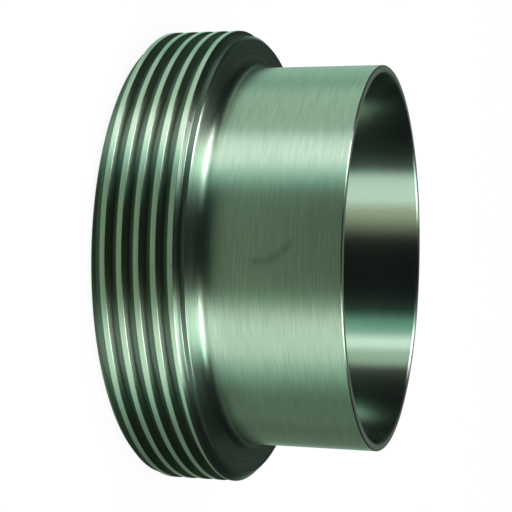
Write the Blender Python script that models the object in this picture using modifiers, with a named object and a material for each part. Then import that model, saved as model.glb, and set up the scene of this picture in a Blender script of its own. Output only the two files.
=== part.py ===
"""Threaded weld ferrule for a three inch hygienic pipe union.

One stainless steel turning. It stands on its threaded front face with the tube end up.
The front face is at z = 0, the axis is Z, and the origin is the centre of the front face.
Metres throughout.
"""

import math

import bmesh
import bpy

MM = 0.001

# Driving dimensions: tube end
TUBE_OUTER_RADIUS = 38.10 * MM
TUBE_WALL = 1.65 * MM
OVERALL_LENGTH = 44.30 * MM
MOUTH_OUTER_BREAK = 0.20 * MM
MOUTH_INNER_BREAK = 0.35 * MM

# Driving dimensions: collar
COLLAR_LENGTH = 17.70 * MM
COLLAR_HEIGHT = 7.50 * MM
NECK_FILLET_RADIUS = 2.00 * MM

# Driving dimensions: thread, trapezoidal, right-hand, single start
THREAD_PITCH = 3.175 * MM
THREAD_DEPTH = 1.60 * MM
THREAD_CREST_LAND = 1.14 * MM
THREAD_FLANK_ANGLE = math.radians(15.0)
THREAD_FIRST_GROOVE = 2.00 * MM
CHAMFER_BELOW_ROOT = 0.10 * MM

# Driving dimensions: joint ring seat, a step turned into the front face
SEAT_WIDTH = 4.75 * MM
SEAT_DEPTH = 2.80 * MM
SEAT_EDGE_BREAK = 0.40 * MM

# Mesh fineness
FACETS_ROUND = 72
FILLET_FACETS = 6
SEAM_DISTANCE = 0.0001 * MM
CUT_CORNER_DISTANCE = 0.002 * MM
SHARP_EDGE_ANGLE = math.radians(14.0)

# Radii that follow from the driving dimensions
BORE_RADIUS = TUBE_OUTER_RADIUS - TUBE_WALL
CREST_RADIUS = TUBE_OUTER_RADIUS + COLLAR_HEIGHT
ROOT_RADIUS = CREST_RADIUS - THREAD_DEPTH
SEAT_RADIUS = BORE_RADIUS + SEAT_WIDTH
COLLAR_CHAMFER = THREAD_DEPTH + CHAMFER_BELOW_ROOT
FACE_RADIUS = CREST_RADIUS - COLLAR_CHAMFER

# How far the thread cutter reaches past the crests
CUTTER_OVERSHOOT = 0.50 * MM


def clear_scene():
    """Remove whatever the file holds, so that only the ferrule is in it."""
    for thing in list(bpy.data.objects):
        bpy.data.objects.remove(thing, do_unlink=True)


def new_collection(name):
    """Make a collection in the scene and return it."""
    collection = bpy.data.collections.new(name)
    bpy.context.scene.collection.children.link(collection)
    return collection


def arc(centre, radius, start, end, facets):
    """Points of an arc in the (radius, height) plane, both ends included."""
    points = []
    for step in range(facets + 1):
        angle = start + (end - start) * step / facets
        along = centre[0] + radius * math.cos(angle)
        height = centre[1] + radius * math.sin(angle)
        points.append((along, height))
    return points


def ferrule_profile():
    """Closed outline of the turning: down the outside, then up the bore."""
    fillet_centre = (TUBE_OUTER_RADIUS + NECK_FILLET_RADIUS, COLLAR_LENGTH + NECK_FILLET_RADIUS)
    outside = [
        (TUBE_OUTER_RADIUS - MOUTH_OUTER_BREAK, OVERALL_LENGTH),
        (TUBE_OUTER_RADIUS, OVERALL_LENGTH - MOUTH_OUTER_BREAK),
    ]
    outside += arc(fillet_centre, NECK_FILLET_RADIUS, math.pi, 1.5 * math.pi, FILLET_FACETS)
    outside += [
        (FACE_RADIUS, COLLAR_LENGTH),
        (CREST_RADIUS, COLLAR_LENGTH - COLLAR_CHAMFER),
        (CREST_RADIUS, COLLAR_CHAMFER),
        (FACE_RADIUS, 0.0),
    ]
    inside = [
        (SEAT_RADIUS + SEAT_EDGE_BREAK, 0.0),
        (SEAT_RADIUS, SEAT_EDGE_BREAK),
        (SEAT_RADIUS, SEAT_DEPTH),
        (BORE_RADIUS, SEAT_DEPTH),
        (BORE_RADIUS, OVERALL_LENGTH - MOUTH_INNER_BREAK),
        (BORE_RADIUS + MOUTH_INNER_BREAK, OVERALL_LENGTH),
    ]
    return outside + inside


def groove_profile():
    """Closed outline of the thread cutter: the space between two thread ridges.

    Heights are measured from the middle of the groove. The flanks run on past the crests,
    so that the cutter leaves no skin there.
    """
    crest_width = THREAD_PITCH - THREAD_CREST_LAND
    root_width = crest_width - 2 * THREAD_DEPTH * math.tan(THREAD_FLANK_ANGLE)
    outer_width = crest_width + 2 * CUTTER_OVERSHOOT * math.tan(THREAD_FLANK_ANGLE)
    outer_radius = CREST_RADIUS + CUTTER_OVERSHOOT
    return [
        (outer_radius, outer_width / 2),
        (outer_radius, -outer_width / 2),
        (ROOT_RADIUS, -root_width / 2),
        (ROOT_RADIUS, root_width / 2),
    ]


def outline_object(name, outline, lift, collection):
    """Make an object whose mesh is the closed outline, drawn in the XZ plane at +X."""
    count = len(outline)
    mesh = bpy.data.meshes.new(name)
    corners = [(along, 0.0, height + lift) for along, height in outline]
    edges = [(index, (index + 1) % count) for index in range(count)]
    mesh.from_pydata(corners, edges, [])
    made = bpy.data.objects.new(name, mesh)
    collection.objects.link(made)
    return made


def add_screw(thing, turns, rise):
    """Turn an outline about Z: a closed ring with no rise, a helix with one."""
    screw = thing.modifiers.new("turning", "SCREW")
    screw.axis = "Z"
    screw.angle = 2 * math.pi
    screw.steps = FACETS_ROUND
    screw.render_steps = FACETS_ROUND
    screw.iterations = turns
    screw.screw_offset = rise
    screw.use_merge_vertices = rise == 0.0
    screw.merge_threshold = SEAM_DISTANCE


def apply_modifiers(thing):
    """Turn what the modifiers make into the object's own mesh."""
    depsgraph = bpy.context.evaluated_depsgraph_get()
    made = bpy.data.meshes.new_from_object(thing.evaluated_get(depsgraph))
    thing.modifiers.clear()
    thing.data = made


def close_ends(thing):
    """Fill the two open ends of the cutter's channel and point its faces outwards."""
    channel = bmesh.new()
    channel.from_mesh(thing.data)
    open_edges = [edge for edge in channel.edges if edge.is_boundary]
    bmesh.ops.holes_fill(channel, edges=open_edges, sides=0)
    bmesh.ops.recalc_face_normals(channel, faces=channel.faces)
    channel.to_mesh(thing.data)
    channel.free()


def thread_cutter(collection):
    """The helical channel that the threading tool takes out of the collar.

    It starts a whole turn below the front face and ends above the back face, so the thread
    runs out through both chamfers as it does on the real turning.
    """
    turns_below = math.ceil(THREAD_FIRST_GROOVE / THREAD_PITCH) + 1
    turns_above = math.ceil((COLLAR_LENGTH - THREAD_FIRST_GROOVE) / THREAD_PITCH) + 1
    lift = THREAD_FIRST_GROOVE - turns_below * THREAD_PITCH
    cutter = outline_object("thread_cutter", groove_profile(), lift, collection)
    add_screw(cutter, turns_below + turns_above, THREAD_PITCH)
    apply_modifiers(cutter)
    close_ends(cutter)
    cutter.hide_render = True
    cutter.display_type = "WIRE"
    return cutter


def steel():
    """Brushed stainless steel with a faint green tone."""
    material = bpy.data.materials.new("brushed_stainless_steel")
    material.use_nodes = True
    shader = material.node_tree.nodes["Principled BSDF"]
    shader.inputs["Base Color"].default_value = (0.50, 0.56, 0.52, 1.0)
    shader.inputs["Metallic"].default_value = 1.0
    shader.inputs["Roughness"].default_value = 0.30
    return material


def weld_ferrule(collection, cutter):
    """The ferrule: its turned outline, with the thread cut out of the collar."""
    ferrule = outline_object("weld_ferrule", ferrule_profile(), 0.0, collection)
    add_screw(ferrule, 1, 0.0)
    cut = ferrule.modifiers.new("thread", "BOOLEAN")
    cut.operation = "DIFFERENCE"
    cut.solver = "EXACT"
    cut.object = cutter
    weld = ferrule.modifiers.new("join_cut_corners", "WELD")
    weld.merge_threshold = CUT_CORNER_DISTANCE
    apply_modifiers(ferrule)
    ferrule.data.shade_smooth()
    ferrule.data.set_sharp_from_angle(angle=SHARP_EDGE_ANGLE)
    ferrule.data.materials.append(steel())


def main():
    clear_scene()
    parts = new_collection("threaded_weld_ferrule")
    cutters = new_collection("cutters")
    cutter = thread_cutter(cutters)
    weld_ferrule(parts, cutter)


main()
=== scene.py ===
# %% [markdown]
# A weld ferrule is the half of a hygienic pipe union that carries the thread. It is turned
# from stainless steel in one piece: a thin tube end that is welded to the line, a fillet, and a
# short collar with a coarse thread for the union nut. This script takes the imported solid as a
# fixed frame and dresses it: a finer mesh of the same turning, steel finishes, and a small studio.

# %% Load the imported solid
import math

import bmesh
import bpy
from mathutils import Matrix, Vector


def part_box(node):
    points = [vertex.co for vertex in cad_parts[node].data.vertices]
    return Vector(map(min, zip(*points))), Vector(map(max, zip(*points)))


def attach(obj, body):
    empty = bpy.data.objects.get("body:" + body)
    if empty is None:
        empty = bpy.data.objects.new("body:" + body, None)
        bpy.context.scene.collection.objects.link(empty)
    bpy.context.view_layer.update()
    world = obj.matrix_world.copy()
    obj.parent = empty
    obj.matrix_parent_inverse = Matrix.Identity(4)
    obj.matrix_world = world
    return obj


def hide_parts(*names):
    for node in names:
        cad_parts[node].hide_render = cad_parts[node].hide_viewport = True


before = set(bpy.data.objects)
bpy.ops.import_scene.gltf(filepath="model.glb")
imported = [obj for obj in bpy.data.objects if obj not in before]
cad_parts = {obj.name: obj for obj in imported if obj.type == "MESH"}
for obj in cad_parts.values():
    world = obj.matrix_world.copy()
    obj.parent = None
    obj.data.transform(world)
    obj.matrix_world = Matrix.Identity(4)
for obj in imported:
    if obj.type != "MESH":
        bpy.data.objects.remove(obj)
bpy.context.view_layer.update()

# %% [markdown]
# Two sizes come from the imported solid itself: its height, and the radius over the thread's
# crests. The others are the sizes that the solid was turned to, in millimetres, so that the fine
# mesh and the solid have one form. Heights are measured up from the threaded front face. A lathe
# drawing would give the same few numbers, which is why they are named one by one.

# %% Sizes of the turning
MM = 0.001
high_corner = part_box("weld_ferrule")[1]
overall_length = high_corner.z
crest_radius = high_corner.x

tube_outer_radius = 38.10 * MM
tube_wall = 1.65 * MM
bore_radius = tube_outer_radius - tube_wall
collar_length = 17.70 * MM
neck_fillet_radius = 2.00 * MM
print("length %.2f mm, crest radius %.2f mm" % (overall_length / MM, crest_radius / MM))

# %% [markdown]
# The thread on such a ferrule is a round or trapezoidal one with eight turns to the inch, coarse
# enough to be cleaned and to be done up by hand. Both ends of the collar have a chamfer a little
# deeper than the thread, so that the thread runs out in the open and leaves no burr.

# %% Sizes of the thread
thread_pitch = 3.175 * MM
thread_depth = 1.60 * MM
thread_crest_land = 1.14 * MM
thread_flank_angle = math.radians(15.0)
thread_first_groove = 2.00 * MM
chamfer_below_root = 0.10 * MM
collar_chamfer = thread_depth + chamfer_below_root
root_radius = crest_radius - thread_depth
face_radius = crest_radius - collar_chamfer
print("thread turns on the collar: %.1f" % (collar_length / thread_pitch))

# %% [markdown]
# The front face holds a step for the joint ring, and the mouth's edges are broken by a file or a
# fine cut so that nobody is hurt. These are small, but they catch light, so they are modelled.

# %% Sizes of the joint ring seat and of the small edges
seat_width = 4.75 * MM
seat_radius = bore_radius + seat_width
seat_depth = 2.80 * MM
seat_edge_break = 0.40 * MM
mouth_outer_break = 0.20 * MM
mouth_inner_break = 0.35 * MM
print("seat %.1f mm across" % (2 * seat_radius / MM))

# %% [markdown]
# The object stands on its threaded face with +Z up, but the photograph shows it lying, with the
# tube end to the right. Rather than lay the part down, the camera is rolled a quarter turn: its
# right is the part's +Z, and its up is the part's -X. Lens, distance and the small remaining
# angles were fitted to the mouth, the neck and the thread crests in the photograph.

# %% Camera
CAMERA_OFF_AXIS = 267.5 * MM
CAMERA_ABOVE_MOUTH = 54.26 * MM
CAMERA_TILT = math.radians(16.907)
CAMERA_ROLL = math.radians(1.010)
LENS_MM = 96.07
SENSOR_MM = 36.0

quarter_roll = Matrix(((0, -1, 0), (0, 0, -1), (1, 0, 0)))
small_turns = Matrix.Rotation(CAMERA_TILT, 3, "Y") @ Matrix.Rotation(CAMERA_ROLL, 3, "Z")
camera_data = bpy.data.cameras.new("camera")
camera_data.lens = LENS_MM
camera_data.sensor_width = SENSOR_MM
camera = bpy.data.objects.new("camera", camera_data)
bpy.context.scene.collection.objects.link(camera)
camera_place = Vector((0.0, -CAMERA_OFF_AXIS, overall_length + CAMERA_ABOVE_MOUTH))
camera.matrix_world = Matrix.Translation(camera_place) @ (quarter_roll @ small_turns).to_4x4()
bpy.context.scene.camera = camera
print("camera %.0f mm from the axis" % (CAMERA_OFF_AXIS / MM))

# %% [markdown]
# The fine mesh is made the way the part is made: a profile is turned about Z, and a helical
# cutter takes out the thread. It has five times as many facets round the axis as the packed
# solid, and every edge that a finger would meet has a small radius, because that radius is what
# draws the thin bright lines along the edges of real turned steel. Arcs are the building block
# of both profiles. A bevel of the finished mesh would give less say over each edge.

# %% Points of an arc
EDGE_RADIUS = 0.10 * MM
EDGE_FACETS = 3


def arc(centre, radius, start, end, facets):
    """Points of an arc in the (radius, height) plane, both ends included."""
    points = []
    for step in range(facets + 1):
        angle = start + (end - start) * step / facets
        points.append((centre[0] + radius * math.cos(angle), centre[1] + radius * math.sin(angle)))
    return points


def rounded(corners):
    """Replace each corner (radius, height, rounding) by an arc that touches both of its sides."""
    points = []
    count = len(corners)
    for index, (along, height, rounding) in enumerate(corners):
        here = Vector((along, height))
        if rounding == 0.0:
            points.append((along, height))
            continue
        before = (Vector(corners[index - 1][:2]) - here).normalized()
        after = (Vector(corners[(index + 1) % count][:2]) - here).normalized()
        half_angle = before.angle(after) / 2
        centre = here + (before + after).normalized() * rounding / math.sin(half_angle)
        first = here + before * rounding / math.tan(half_angle) - centre
        turn = first.angle_signed(here + after * rounding / math.tan(half_angle) - centre)
        start = math.atan2(first.y, first.x)
        points += arc(centre, rounding, start, start - turn, EDGE_FACETS)
    return points


print("edge radius %.2f mm" % (EDGE_RADIUS / MM))

# %% [markdown]
# The profile runs down the outside, across the front face and up the bore. The neck fillet is
# its one large arc. On the real part the fillet is the shape of the tool's nose, and it is there
# to keep the joint between neck and collar strong and easy to clean.

# %% Profile of the turning
FILLET_FACETS = 16
fillet_centre = (tube_outer_radius + neck_fillet_radius, collar_length + neck_fillet_radius)
mouth = [
    (tube_outer_radius - mouth_outer_break, overall_length, EDGE_RADIUS),
    (tube_outer_radius, overall_length - mouth_outer_break, EDGE_RADIUS),
]
collar = [
    (face_radius, collar_length, EDGE_RADIUS),
    (crest_radius, collar_length - collar_chamfer, EDGE_RADIUS),
    (crest_radius, collar_chamfer, EDGE_RADIUS),
    (face_radius, 0.0, EDGE_RADIUS),
]
inside = [
    (seat_radius + seat_edge_break, 0.0, EDGE_RADIUS),
    (seat_radius, seat_edge_break, EDGE_RADIUS),
    (seat_radius, seat_depth, EDGE_RADIUS),
    (bore_radius, seat_depth, EDGE_RADIUS),
    (bore_radius, overall_length - mouth_inner_break, EDGE_RADIUS),
    (bore_radius + mouth_inner_break, overall_length, EDGE_RADIUS),
]
fillet = arc(fillet_centre, neck_fillet_radius, math.pi, 1.5 * math.pi, FILLET_FACETS)
fillet = [(along, height, 0.0) for along, height in fillet]
turning_profile = rounded(mouth + fillet + collar + inside)
print("profile points:", len(turning_profile))

# %% [markdown]
# The thread's flanks stand 15 degrees off square. The cutter's profile is the groove between two
# ridges. Towards the crests its sides flare out along an arc, so that the cut rounds the crests'
# edges, as a brush does on a real thread, and the two inner corners leave a rounded root.

# %% Profile of the thread cutter
CREST_ROUNDING = 0.22 * MM
CREST_END_ANGLE = math.radians(6.0)
ROOT_ROUNDING = 0.20 * MM
CUTTER_OVERSHOOT = 0.50 * MM
CUTTER_ARC_FACETS = 6
CREST_CLEARANCE = 0.003 * MM

crest_width = thread_pitch - thread_crest_land
root_width = crest_width - 2 * thread_depth * math.tan(thread_flank_angle)
corner_turn = math.pi / 2 - thread_flank_angle


def groove_side():
    """One side of the groove, from the root outwards, as (radius, distance from its middle)."""
    root_centre = (
        root_radius + ROOT_ROUNDING,
        root_width / 2 - ROOT_ROUNDING * math.tan(corner_turn / 2),
    )
    root = arc(root_centre, ROOT_ROUNDING, math.pi, math.pi - corner_turn, CUTTER_ARC_FACETS)
    crest_centre = (
        crest_radius + CREST_CLEARANCE - CREST_ROUNDING * math.cos(CREST_END_ANGLE),
        crest_width / 2 + CREST_ROUNDING * math.tan(corner_turn / 2),
    )
    crest = arc(crest_centre, CREST_ROUNDING, -corner_turn, -CREST_END_ANGLE, CUTTER_ARC_FACETS)
    outer_end = (crest_radius + CUTTER_OVERSHOOT, crest[-1][1] + CUTTER_OVERSHOOT)
    return root + crest + [outer_end]


lower_side = [(along, -height) for along, height in groove_side()]
groove_outline = lower_side[::-1] + groove_side()
print("groove: %.2f mm at the crests, %.2f mm at the root" % (crest_width / MM, root_width / MM))

# %% [markdown]
# Blender's Screw modifier is the lathe. With no rise it turns an outline into a closed ring, and
# with a rise of one pitch a turn it sweeps the groove's outline along the helix that the
# threading tool follows. A spun curve could do the first, but not the second.

# %% Turn a profile about Z
FACETS_ROUND = 360
SEAM_DISTANCE = 0.0001 * MM


def turned_object(name, outline, lift, turns, rise):
    """Screw a closed outline about Z: a ring where rise is 0, else a helix."""
    count = len(outline)
    mesh = bpy.data.meshes.new(name)
    corners = [(along, 0.0, height + lift) for along, height in outline]
    edges = [(index, (index + 1) % count) for index in range(count)]
    mesh.from_pydata(corners, edges, [])
    made = bpy.data.objects.new(name, mesh)
    bpy.context.scene.collection.objects.link(made)
    screw = made.modifiers.new("turning", "SCREW")
    screw.axis = "Z"
    screw.angle = 2 * math.pi
    screw.steps = FACETS_ROUND
    screw.render_steps = FACETS_ROUND
    screw.iterations = turns
    screw.screw_offset = rise
    screw.use_merge_vertices = rise == 0.0
    screw.merge_threshold = SEAM_DISTANCE
    return made


ferrule = turned_object("ferrule", turning_profile, 0.0, 1, 0.0)
print("blank turned with", FACETS_ROUND, "facets round")

# %% [markdown]
# The cutter starts two turns below the first groove and ends above the collar's back face, so
# the thread runs out through both chamfers as it does on the real part. Its open ends are filled,
# because a Boolean cut needs a closed solid.

# %% The thread cutter
TURNS_BELOW = 2


def apply_modifiers(thing):
    """Make what the modifiers show the object's own mesh."""
    depsgraph = bpy.context.evaluated_depsgraph_get()
    made = bpy.data.meshes.new_from_object(thing.evaluated_get(depsgraph))
    thing.modifiers.clear()
    thing.data = made


def close_ends(thing):
    """Fill the open ends of a helical channel and point its faces outwards."""
    channel = bmesh.new()
    channel.from_mesh(thing.data)
    open_edges = [edge for edge in channel.edges if edge.is_boundary]
    bmesh.ops.holes_fill(channel, edges=open_edges, sides=0)
    bmesh.ops.recalc_face_normals(channel, faces=channel.faces)
    channel.to_mesh(thing.data)
    channel.free()


cutter_turns = TURNS_BELOW + math.ceil((collar_length - thread_first_groove) / thread_pitch) + 1
cutter_lift = thread_first_groove - TURNS_BELOW * thread_pitch
cutter = turned_object("thread_cutter", groove_outline, cutter_lift, cutter_turns, thread_pitch)
apply_modifiers(cutter)
close_ends(cutter)
print("cutter turns:", cutter_turns)

# %% [markdown]
# The exact Boolean solver keeps the thin run-out of the thread clean, and a weld of two
# thousandths of a millimetre joins the tiny edges that it leaves. Normals weighted by face area
# keep the crests' broad lands flat in the light, so that only their rounded edges shine.

# %% Cut the thread
CUT_CORNER_DISTANCE = 0.002 * MM
SHARP_EDGE_ANGLE = math.radians(40.0)

cut = ferrule.modifiers.new("thread", "BOOLEAN")
cut.operation = "DIFFERENCE"
cut.solver = "EXACT"
cut.object = cutter
weld = ferrule.modifiers.new("join_cut_corners", "WELD")
weld.merge_threshold = CUT_CORNER_DISTANCE
apply_modifiers(ferrule)
bpy.data.objects.remove(cutter)
ferrule.data.shade_smooth()
ferrule.data.set_sharp_from_angle(angle=SHARP_EDGE_ANGLE)
by_area = ferrule.modifiers.new("even_shading", "WEIGHTED_NORMAL")
by_area.keep_sharp = True
apply_modifiers(ferrule)
print("ferrule: %d faces" % len(ferrule.data.polygons))

# %% [markdown]
# Materials and lights here are node trees. Four helpers keep them readable: one adds a node, one
# joins two numbers by an operation, one gives the length of a slope from its two legs, and one
# maps a value onto a range.

# %% Node helpers


def node(tree, kind, **settings):
    """Add a node to a tree and set its properties."""
    made = tree.nodes.new(kind)
    for name, value in settings.items():
        setattr(made, name, value)
    return made


def math_node(tree, operation, first, second=0.0):
    """Join two numbers or sockets by one operation and return the result's socket."""
    made = node(tree, "ShaderNodeMath", operation=operation)
    for socket, value in zip(made.inputs, (first, second)):
        if isinstance(value, (int, float)):
            socket.default_value = value
        else:
            tree.links.new(value, socket)
    return made.outputs[0]


def slope_length(tree, first, second):
    """Length of a slope whose two legs are sockets, as a socket."""
    first_square = math_node(tree, "MULTIPLY", first, first)
    second_square = math_node(tree, "MULTIPLY", second, second)
    return math_node(tree, "SQRT", math_node(tree, "ADD", first_square, second_square))


def mapped(tree, value, span, result, kind="LINEAR"):
    """Map a socket's value from one range (start, end) onto another."""
    made = node(tree, "ShaderNodeMapRange", interpolation_type=kind)
    made.inputs["From Min"].default_value = span[0]
    made.inputs["From Max"].default_value = span[1]
    made.inputs["To Min"].default_value = result[0]
    made.inputs["To Max"].default_value = result[1]
    tree.links.new(value, made.inputs["Value"])
    return made.outputs[0]


print("helpers: node, math_node, slope_length, mapped")

# %% [markdown]
# A tool or a brush leaves fine lines that run round a turned part. Noise whose cells are round
# becomes such lines when its space is squeezed across them and stretched along them. A picture
# of brushed steel would show its seams on a cylinder, and this has none.

# %% Streaks round the axis


def streak_coordinates(tree, width, length):
    """Coordinates in which round noise cells become thin streaks round the axis.

    Across the streaks they follow height minus radius, which keeps changing along the neck, round
    the fillet and over the faces alike.
    """
    place = node(tree, "ShaderNodeTexCoord").outputs["Object"]
    parts = node(tree, "ShaderNodeSeparateXYZ")
    tree.links.new(place, parts.inputs[0])
    x, y, z = parts.outputs
    radius = slope_length(tree, x, y)
    across = math_node(tree, "MULTIPLY", math_node(tree, "SUBTRACT", z, radius), 1.0 / width)
    joined = node(tree, "ShaderNodeCombineXYZ")
    for socket, value in ((0, x), (1, y)):
        turned = math_node(tree, "DIVIDE", value, radius)
        stretched = math_node(tree, "MULTIPLY", turned, tube_outer_radius / length)
        tree.links.new(stretched, joined.inputs[socket])
    tree.links.new(across, joined.inputs[2])
    return joined.outputs[0]


def streaks(tree, width, length, detail):
    """Noise drawn out into streaks round the axis, from 0 to 1."""
    noise = node(tree, "ShaderNodeTexNoise")
    noise.inputs["Scale"].default_value = 1.0
    noise.inputs["Detail"].default_value = detail
    tree.links.new(streak_coordinates(tree, width, length), noise.inputs["Vector"])
    return noise.outputs["Fac"]


print("streaks ready")

# %% [markdown]
# One turning shows several finishes, but all are the same steel, so they share one builder: a
# metallic shader whose highlights are drawn out across the lines, as they are on a real shaft.
# The anisotropic rotation of a quarter turn does that, with the tangent running round Z. Broad
# streaks vary the roughness a little, and fine ones the colour.

# %% Steel finish
NOISE_MIDDLE = (0.3, 0.7)
ROUGHNESS_SWING = 0.04
QUARTER_TURN = 0.25
FINE_DETAIL = 2.0
BROAD_DETAIL = 3.0
BROAD_TIMES_WIDER = 8
BROAD_TIMES_LONGER = 3


def steel_finish(name, colour, roughness, anisotropy, grain, grain_shade):
    """One finish of the steel. The grain is a streak's width and length round the axis."""
    material = bpy.data.materials.new(name)
    material.use_nodes = True
    tree = material.node_tree
    shader = tree.nodes["Principled BSDF"]
    shader.inputs["Metallic"].default_value = 1.0
    shader.inputs["Anisotropic"].default_value = anisotropy
    shader.inputs["Anisotropic Rotation"].default_value = QUARTER_TURN
    tangent = node(tree, "ShaderNodeTangent", direction_type="RADIAL", axis="Z")
    tree.links.new(tangent.outputs[0], shader.inputs["Tangent"])
    width, length = grain
    broad = streaks(tree, BROAD_TIMES_WIDER * width, BROAD_TIMES_LONGER * length, BROAD_DETAIL)
    swing = (roughness * (1.0 - ROUGHNESS_SWING), roughness * (1.0 + ROUGHNESS_SWING))
    tree.links.new(mapped(tree, broad, NOISE_MIDDLE, swing), shader.inputs["Roughness"])
    tint = node(tree, "ShaderNodeMix", data_type="RGBA")
    tint.inputs["A"].default_value = [channel * (1.0 - grain_shade) for channel in colour] + [1.0]
    tint.inputs["B"].default_value = list(colour) + [1.0]
    fine = streaks(tree, width, length, FINE_DETAIL)
    tree.links.new(mapped(tree, fine, NOISE_MIDDLE, (0.0, 1.0)), tint.inputs["Factor"])
    tree.links.new(tint.outputs["Result"], shader.inputs["Base Color"])
    return material


print("one builder for all the steel finishes")

# %% [markdown]
# The neck is brushed round the axis, and its short fine streaks show that. The photograph has a
# green cast, and the steel's colour holds it. The thread's crests are smoother than the neck, and
# their steel is painted lighter than the neck's: painted light.

# %% Neck and thread crests
STEEL = (0.56, 0.70, 0.59)
# Painted light: the crests' steel is lighter than the neck's.
CREST_PAINTED_LIGHT_STEEL = (0.65, 0.80, 0.67)
SHORT_BRUSHING = (0.12 * MM, 5.0 * MM)
CREST_BRUSHING = (0.15 * MM, 8.0 * MM)
neck_steel = steel_finish(
    "neck_brushed_steel",
    STEEL,
    roughness=0.29,
    anisotropy=0.93,
    grain=SHORT_BRUSHING,
    grain_shade=0.24,
)
crest_painted_light_steel = steel_finish(
    "thread_crest_painted_light_steel",
    CREST_PAINTED_LIGHT_STEEL,
    roughness=0.28,
    anisotropy=0.85,
    grain=CREST_BRUSHING,
    grain_shade=0.15,
)
print("made", neck_steel.name, "and", crest_painted_light_steel.name)

# %% [markdown]
# The neck carries one rub mark, a short dull curve where something hard once slid over it. Its
# place is a circle's arc on the side that faces the camera, and it is broken up by the same kind
# of streaks as the brushing. It is painted into the colour, because it has no depth to model.

# %% Rub mark on the neck
MARK_CENTRE_X = -5.6 * MM
MARK_CENTRE_HEIGHT = 29.0 * MM
MARK_RADIUS = 6.6 * MM
MARK_HALF_WIDTH = 1.3 * MM
MARK_START = (14.0, 34.0)
MARK_END = (112.0, 92.0)
MARK_STRENGTH = 0.65
MARK_GRAIN = (0.3 * MM, 1.5 * MM)
MARK_GRAIN_SHARE = (0.2, 1.0)
DULL_STEEL = (0.24, 0.29, 0.22, 1.0)
DEGREES = 180.0 / math.pi


def rub_mark(material):
    """Paint a soft arc of duller steel over the finish's colour."""
    tree = material.node_tree
    shader = tree.nodes["Principled BSDF"]
    parts = node(tree, "ShaderNodeSeparateXYZ")
    tree.links.new(node(tree, "ShaderNodeTexCoord").outputs["Object"], parts.inputs[0])
    across = math_node(tree, "SUBTRACT", parts.outputs[0], MARK_CENTRE_X)
    along = math_node(tree, "SUBTRACT", parts.outputs[2], MARK_CENTRE_HEIGHT)
    off_arc = math_node(tree, "SUBTRACT", slope_length(tree, across, along), MARK_RADIUS)
    off_arc = math_node(tree, "ABSOLUTE", off_arc)
    turn = math_node(tree, "MULTIPLY", math_node(tree, "ARCTAN2", across, along), DEGREES)
    mask = mapped(tree, off_arc, (MARK_HALF_WIDTH, 0.0), (0.0, MARK_STRENGTH), "SMOOTHSTEP")
    grain = streaks(tree, *MARK_GRAIN, FINE_DETAIL)
    broken = mapped(tree, grain, NOISE_MIDDLE, MARK_GRAIN_SHARE)
    front = math_node(tree, "LESS_THAN", parts.outputs[1], 0.0)
    start = mapped(tree, turn, MARK_START, (0.0, 1.0), "SMOOTHSTEP")
    end = mapped(tree, turn, MARK_END, (0.0, 1.0), "SMOOTHSTEP")
    for share in (broken, front, start, end):
        mask = math_node(tree, "MULTIPLY", mask, share)
    marked = node(tree, "ShaderNodeMix", data_type="RGBA")
    tree.links.new(mask, marked.inputs["Factor"])
    tree.links.new(shader.inputs["Base Color"].links[0].from_socket, marked.inputs["A"])
    marked.inputs["B"].default_value = DULL_STEEL
    tree.links.new(marked.outputs["Result"], shader.inputs["Base Color"])


rub_mark(neck_steel)
print("rub mark at %.0f mm up the neck" % (MARK_CENTRE_HEIGHT / MM))

# %% [markdown]
# Deep in the groove the tool marks are coarser. The root's steel is painted darker than the
# flanks', and both are painted darker than the neck's: painted shade of the groove. The flanks'
# steel is also a little warm, a painted yellow tint of their reflections in the bright bands. Two
# finishes give that contrast directly, where light alone would need a mesh of the tool marks
# themselves.

# %% Thread roots and flanks
# Painted shade in the groove: the root darkest, the flanks darker and warmer than the neck.
SHADED_STEEL = (0.19, 0.26, 0.22)
PAINTED_SHADE_WARM_STEEL = (0.37, 0.44, 0.36)
LONG_LINES = (0.15 * MM, 60.0 * MM)
root_painted_shade_steel = steel_finish(
    "thread_root_painted_shade_steel",
    SHADED_STEEL,
    roughness=0.31,
    anisotropy=1.00,
    grain=LONG_LINES,
    grain_shade=0.15,
)
flank_painted_shade_steel = steel_finish(
    "thread_flank_painted_shade_steel",
    PAINTED_SHADE_WARM_STEEL,
    roughness=0.34,
    anisotropy=1.00,
    grain=LONG_LINES,
    grain_shade=0.15,
)
print("made", root_painted_shade_steel.name, "and", flank_painted_shade_steel.name)

# %% [markdown]
# The collar's faces and chamfers are as the facing tool left them: clean, with fine rings that
# can be counted, and their steel is painted lighter than the neck's: painted light. The cut end
# of the tube is matt, and scatters a little light from all round. A shader that is a little short
# of fully metallic gives that. Its colour is the flanks' darker steel: painted shade.

# %% Faces and mouth
# Painted light: the faces' steel is lighter than the neck's.
FACE_PAINTED_LIGHT_STEEL = (0.72, 0.86, 0.75)
FACE_RINGS = (0.25 * MM, 90.0 * MM)
MOUTH_METALLIC = 0.85
face_painted_light_steel = steel_finish(
    "face_turned_painted_light_steel",
    FACE_PAINTED_LIGHT_STEEL,
    roughness=0.32,
    anisotropy=0.95,
    grain=FACE_RINGS,
    grain_shade=0.35,
)
# Painted shade: the mouth takes the flanks' darker steel.
mouth_painted_shade_steel = steel_finish(
    "mouth_cut_painted_shade_steel",
    PAINTED_SHADE_WARM_STEEL,
    roughness=0.45,
    anisotropy=0.00,
    grain=LONG_LINES,
    grain_shade=0.15,
)
end_shader = mouth_painted_shade_steel.node_tree.nodes["Principled BSDF"]
end_shader.inputs["Metallic"].default_value = MOUTH_METALLIC
print("made", face_painted_light_steel.name, "and", mouth_painted_shade_steel.name)

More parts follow.
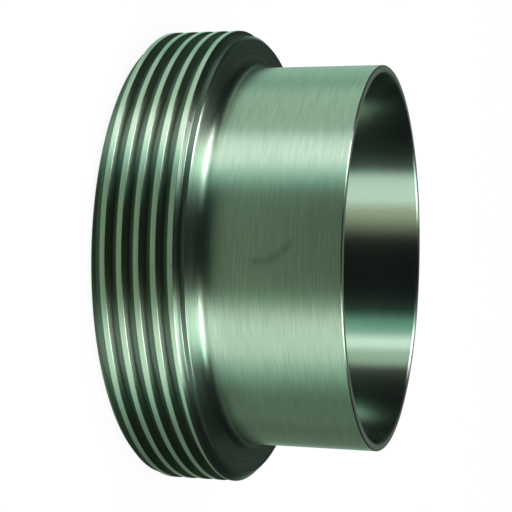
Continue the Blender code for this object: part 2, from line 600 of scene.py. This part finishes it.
# %% [markdown]
# The bore is the smoothest surface, because the product flows there. A boring bar leaves a saw
# tooth of very low ramps, all facing the mouth, and these send light from higher up to the eye
# than a plain cylinder would. The shading normal leans by their slope, which costs no mesh.

# %% Bore
RAMP_SLOPE = 0.36
BORE_LINES = (0.30 * MM, 60.0 * MM)


def lean_to_mouth(material, slope):
    """Tilt the shading normal towards the mouth, as the fine ramps of a boring tool do."""
    tree = material.node_tree
    surface = node(tree, "ShaderNodeNewGeometry")
    tilted = node(tree, "ShaderNodeVectorMath", operation="ADD")
    tilted.inputs[1].default_value = (0.0, 0.0, slope)
    tree.links.new(surface.outputs["Normal"], tilted.inputs[0])
    unit = node(tree, "ShaderNodeVectorMath", operation="NORMALIZE")
    tree.links.new(tilted.outputs[0], unit.inputs[0])
    tree.links.new(unit.outputs[0], tree.nodes["Principled BSDF"].inputs["Normal"])


bore_steel = steel_finish(
    "bore_bright_steel",
    STEEL,
    roughness=0.22,
    anisotropy=0.80,
    grain=BORE_LINES,
    grain_shade=0.03,
)
lean_to_mouth(bore_steel, RAMP_SLOPE)
print("made", bore_steel.name)

# %% [markdown]
# On the real part each finish belongs to one cut, and one cut covers a range of radius and
# height. So every face finds its finish from where it lies and how far it faces outwards, which
# is 1 for straight out and -1 for straight in. The turning stays one mesh, with no seams between
# its finishes.

# %% Give each zone of the turning its finish
# Some finishes also carry painted light or shade: crests and faces lighter, root, flanks and mouth
# darker.
SKIN = 0.01 * MM
CREST_EDGE = 0.10 * MM
CHAMFER_FACES_OUT_LESS_THAN = 0.8
ROOT_FACES_OUT_MORE_THAN = 0.6
CREST_FACES_OUT_MORE_THAN = 0.3
FLANK_FACES_OUT_MORE_THAN = -0.5
finishes = {
    "neck": neck_steel,
    "bore": bore_steel,
    "crest": crest_painted_light_steel,
    "root": root_painted_shade_steel,
    "face": face_painted_light_steel,
    "mouth": mouth_painted_shade_steel,
    "flank": flank_painted_shade_steel,
}


def zone_of(face):
    """Name of the zone that a face of the turning lies in."""
    radius = math.hypot(face.center.x, face.center.y)
    height = face.center.z
    outwards = (face.normal.x * face.center.x + face.normal.y * face.center.y) / radius
    near_collar_end = abs(height - collar_length / 2) > collar_length / 2 - collar_chamfer
    on_chamfer = near_collar_end and outwards < CHAMFER_FACES_OUT_LESS_THAN
    in_thread = radius > root_radius - 2 * SKIN and outwards > FLANK_FACES_OUT_MORE_THAN
    if radius < bore_radius + SKIN and height > seat_depth:
        return "bore"
    if collar_length + SKIN < height < overall_length - mouth_outer_break and outwards > 0.0:
        return "neck"
    if radius > crest_radius - CREST_EDGE and outwards > CREST_FACES_OUT_MORE_THAN:
        return "crest"
    if in_thread and not on_chamfer:
        return "root" if outwards > ROOT_FACES_OUT_MORE_THAN else "flank"
    if height > overall_length - SKIN:
        return "mouth"
    return "face"


zones = list(finishes)
for material in finishes.values():
    ferrule.data.materials.append(material)
for face in ferrule.data.polygons:
    face.material_index = zones.index(zone_of(face))
for index, zone in enumerate(zones):
    print(zone, sum(1 for face in ferrule.data.polygons if face.material_index == index), "faces")

# %% [markdown]
# Polished metal shows what stands round it, so the studio is most of the picture. Its white light
# comes through gaps between dark flags, and steel shows those flags as its dark bands. The whole
# room is painted into the world by direction, which costs no noise and needs no lamp objects.
# The azimuth is 0 towards the camera and grows towards +X, and the elevation is 0 at the horizon.

# %% Directions in the studio
world = bpy.data.worlds.new("studio")
bpy.context.scene.world = world
world.use_nodes = True
sky = world.node_tree
sky.nodes.clear()

axes = node(sky, "ShaderNodeSeparateXYZ")
sky.links.new(node(sky, "ShaderNodeTexCoord").outputs["Generated"], axes.inputs[0])
towards_camera = math_node(sky, "MULTIPLY", axes.outputs[1], -1.0)
turn_round = math_node(sky, "ARCTAN2", axes.outputs[0], towards_camera)
azimuth = math_node(sky, "MULTIPLY", turn_round, DEGREES)
elevation = math_node(sky, "MULTIPLY", math_node(sky, "ARCSINE", axes.outputs[2]), DEGREES)
print("directions: azimuth and elevation in degrees")

# %% [markdown]
# A soft box is a patch of that sky: it fades in between two angles, holds, and fades out between
# two more, both round the horizon and up from it. Soft edges matter, because a brushed surface
# shows a hard-edged light as a hard band.

# %% Soft-edged patches of light


def window(value, first, second, third, fourth):
    """Rise between the first two angles and fall between the last two."""
    rise = mapped(sky, value, (first, second), (0.0, 1.0), "SMOOTHSTEP")
    fall = mapped(sky, value, (fourth, third), (0.0, 1.0), "SMOOTHSTEP")
    return math_node(sky, "MULTIPLY", rise, fall)


def patch(around, upright):
    """A soft-edged patch of the studio: four azimuths and four elevations."""
    return math_node(sky, "MULTIPLY", window(azimuth, *around), window(elevation, *upright))


def add_light(total, mask, colour):
    """Add a mask times a colour to the light so far."""
    scaled = node(sky, "ShaderNodeVectorMath", operation="SCALE")
    scaled.inputs[0].default_value = colour
    sky.links.new(mask, scaled.inputs["Scale"])
    joined = node(sky, "ShaderNodeVectorMath", operation="ADD")
    sky.links.new(total, joined.inputs[0])
    sky.links.new(scaled.outputs[0], joined.inputs[1])
    return joined.outputs[0]


print("patches ready")

# %% [markdown]
# Two tall strips stand in front, one to each side of the camera, and draw the two light bands
# along the neck. Their tops lean over the part and glint in the fillet and along the thread.
# Each strip is greener at its edges than in its middle, so a warm core lies over it. The middle
# of the neck and the crests reflect the table that the part stands on. Each light was placed by
# asking which direction a pixel of the photograph mirrors, and trial renders then gave its
# strength. A real set of soft boxes would be found in the same way.

# %% Lights of the studio
ALL_ROUND = (-400.0, -399.0, 399.0, 400.0)
TABLE = (-64.0, -50.0, -34.0, -22.0)
NEAR_TABLE = (-64.0, -50.0, -25.0, -18.0)
LOW = (-26.0, -20.0, -10.0, 4.0)
HIGH = (0.0, 12.0, 60.0, 72.0)
TOP = (44.0, 50.0, 60.0, 68.0)
BEHIND = (-4.0, 8.0, 60.0, 80.0)
lights = {
    "left strip, low": ((-82.0, -68.0, -60.0, -34.0), LOW, (1.20, 1.94, 1.64)),
    "left strip, warm core": ((-81.0, -67.0, -60.0, -46.0), LOW, (0.78, 0.10, 0.30)),
    "left fill, low": ((-125.0, -100.0, -84.0, -68.0), LOW, (0.84, 1.05, 0.86)),
    "right strip, low": ((18.0, 42.0, 54.0, 90.0), LOW, (0.90, 1.48, 1.20)),
    "right strip, warm core": ((24.0, 38.0, 54.0, 76.0), LOW, (0.56, 0.10, 0.18)),
    "left strip, outer": ((-79.0, -77.0, -69.0, -63.0), HIGH, (0.48, 0.58, 0.46)),
    "left strip, middle": ((-68.0, -62.0, -60.0, -52.0), HIGH, (1.22, 1.30, 1.24)),
    "left strip, inner": ((-60.0, -52.0, -46.0, -38.0), HIGH, (0.14, 0.35, 0.27)),
    "right strip, inner": ((12.0, 32.0, 34.0, 40.0), HIGH, (0.36, 0.36, 0.25)),
    "right strip, outer": ((34.0, 41.0, 57.0, 64.0), HIGH, (0.72, 0.82, 0.74)),
    "left strip, top": ((-114.0, -104.0, -77.0, -62.0), TOP, (4.6, 6.4, 5.5)),
    "left strip, top core": ((-114.0, -104.0, -90.0, -76.0), TOP, (2.8, 0.4, 1.4)),
    "right strip, top": ((32.0, 45.0, 80.0, 94.0), TOP, (4.3, 6.0, 5.1)),
    "right strip, top core": ((36.0, 48.0, 64.0, 78.0), TOP, (2.2, 0.2, 1.0)),
    "table, front": ((-45.0, -30.0, 20.0, 35.0), NEAR_TABLE, (0.44, 0.58, 0.40)),
    "table, left": ((-110.0, -90.0, -45.0, -30.0), TABLE, (0.66, 0.92, 0.72)),
    "table, right": ((20.0, 35.0, 90.0, 110.0), TABLE, (0.47, 0.72, 0.50)),
    "table, left behind": ((-400.0, -399.0, -110.0, -90.0), TABLE, (0.14, 0.17, 0.14)),
    "table, right behind": ((90.0, 110.0, 399.0, 400.0), TABLE, (0.14, 0.17, 0.14)),
    "front, low": ((-50.0, -38.0, 14.0, 30.0), LOW, (0.020, 0.032, 0.027)),
    "right fill, low": ((78.0, 92.0, 108.0, 124.0), LOW, (0.07, 0.10, 0.07)),
    "left side, low": ((-400.0, -399.0, -120.0, -100.0), LOW, (0.44, 0.66, 0.53)),
    "right side, low": ((60.0, 84.0, 399.0, 400.0), LOW, (0.17, 0.23, 0.17)),
    "right side, low, behind": ((148.0, 168.0, 399.0, 400.0), LOW, (0.27, 0.43, 0.36)),
    "behind, left": ((-400.0, -399.0, -160.0, -145.0), BEHIND, (0.03, 0.04, 0.035)),
    "behind, right": ((145.0, 160.0, 399.0, 400.0), BEHIND, (0.03, 0.04, 0.035)),
    "room": (ALL_ROUND, ALL_ROUND, (0.008, 0.009, 0.009)),
}
light = node(sky, "ShaderNodeCombineXYZ").outputs[0]
for around, upright, colour in lights.values():
    light = add_light(light, patch(around, upright), colour)
print("lights:", ", ".join(lights))

# %% [markdown]
# The photograph's background is plain white. Painting the studio white would wash out the steel,
# so only the camera's own rays see a white world, and every reflection sees the painted room.

# %% Painted studio and white background
WHITE = (1.0, 1.0, 1.0, 1.0)
studio = node(sky, "ShaderNodeBackground")
sky.links.new(light, studio.inputs["Color"])
white = node(sky, "ShaderNodeBackground")
white.inputs["Color"].default_value = WHITE
rays = node(sky, "ShaderNodeLightPath")
seen_by = node(sky, "ShaderNodeMixShader")
sky.links.new(rays.outputs["Is Camera Ray"], seen_by.inputs[0])
sky.links.new(studio.outputs[0], seen_by.inputs[1])
sky.links.new(white.outputs[0], seen_by.inputs[2])
world_output = node(sky, "ShaderNodeOutputWorld")
sky.links.new(seen_by.outputs[0], world_output.inputs["Surface"])
print("studio painted, white behind the part")

# %% [markdown]
# The part stands on a large white floor. Near the part the floor shows mostly plain white to the
# camera, with a small share of real paint that holds the part's shadow. Farther out it is plain
# white, so that no horizon line parts it from the white behind it.

# %% Floor
FLOOR_SIDE = 12.0
FLOOR_PAINT = (0.9, 0.9, 0.9, 1.0)
WHITE_SHARE = (0.93, 1.0)
SHARE_GROWS_OVER = (0.15, 0.60)

bpy.ops.mesh.primitive_grid_add(x_subdivisions=2, y_subdivisions=2, size=FLOOR_SIDE)
floor = bpy.context.object
floor.name = "floor"
floor_paint = bpy.data.materials.new("floor_white")
floor_paint.use_nodes = True
paint = floor_paint.node_tree
paint.nodes.clear()
diffuse = node(paint, "ShaderNodeBsdfDiffuse")
diffuse.inputs["Color"].default_value = FLOOR_PAINT
glow = node(paint, "ShaderNodeEmission")
glow.inputs["Color"].default_value = WHITE
seen = node(paint, "ShaderNodeLightPath")
away = node(paint, "ShaderNodeVectorMath", operation="LENGTH")
paint.links.new(node(paint, "ShaderNodeTexCoord").outputs["Object"], away.inputs[0])
white_share = mapped(paint, away.outputs["Value"], SHARE_GROWS_OVER, WHITE_SHARE, "SMOOTHSTEP")
share = math_node(paint, "MULTIPLY", seen.outputs["Is Camera Ray"], white_share)
blend = node(paint, "ShaderNodeMixShader")
paint.links.new(share, blend.inputs[0])
paint.links.new(diffuse.outputs[0], blend.inputs[1])
paint.links.new(glow.outputs[0], blend.inputs[2])
floor_output = node(paint, "ShaderNodeOutputMaterial")
paint.links.new(blend.outputs[0], floor_output.inputs["Surface"])
floor.data.materials.append(floor_paint)
floor.visible_glossy = False
print("floor %.0f m across" % FLOOR_SIDE)

# %% [markdown]
# A black disc lies under the open front, so that no floor light comes up through the bore, which
# is dark at its far end in the photograph. The camera doesn't see the disc itself.

# %% Black pad under the bore
PAD_DROP = 0.2 * MM
PAD_EDGES = 64
PAD_PAINT = (0.02, 0.02, 0.02, 1.0)

bpy.ops.mesh.primitive_circle_add(vertices=PAD_EDGES, radius=face_radius, fill_type="NGON")
pad = bpy.context.object
pad.name = "pad"
pad.location.z = -PAD_DROP
pad_paint = bpy.data.materials.new("pad_black")
pad_paint.use_nodes = True
pad_shader = pad_paint.node_tree.nodes["Principled BSDF"]
pad_shader.inputs["Base Color"].default_value = PAD_PAINT
pad.data.materials.append(pad_paint)
pad.visible_camera = False
print("pad %.0f mm across" % (2 * face_radius / MM))

# %% [markdown]
# One broad lamp overhead lights the floor evenly, so the small share of real paint reads white
# beyond the shadow. The steel doesn't mirror it, because its bands are already painted.

# %% Overhead lamp
LAMP_SIZE = 1.6
LAMP_HEIGHT = 1.5
LAMP_WATTS = 22.0

overhead_data = bpy.data.lights.new("overhead", "AREA")
overhead_data.shape = "DISK"
overhead_data.size = LAMP_SIZE
overhead_data.energy = LAMP_WATTS
overhead = bpy.data.objects.new("overhead", overhead_data)
overhead.location.z = LAMP_HEIGHT
overhead.visible_glossy = False
overhead.visible_camera = False
bpy.context.scene.collection.objects.link(overhead)
print("overhead lamp %.0f W" % LAMP_WATTS)

# %% [markdown]
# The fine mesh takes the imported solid's place. It rides on the one body, and all of its finishes
# count as the record's steel.

# %% Fit the fine mesh to the frame
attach(ferrule, "root")
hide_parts("weld_ferrule")
print("the fine mesh replaces the packed solid")

# %% [markdown]
# Colours are shown as written, with no film look.

# %% Picture settings
bpy.context.scene.view_settings.view_transform = "Standard"
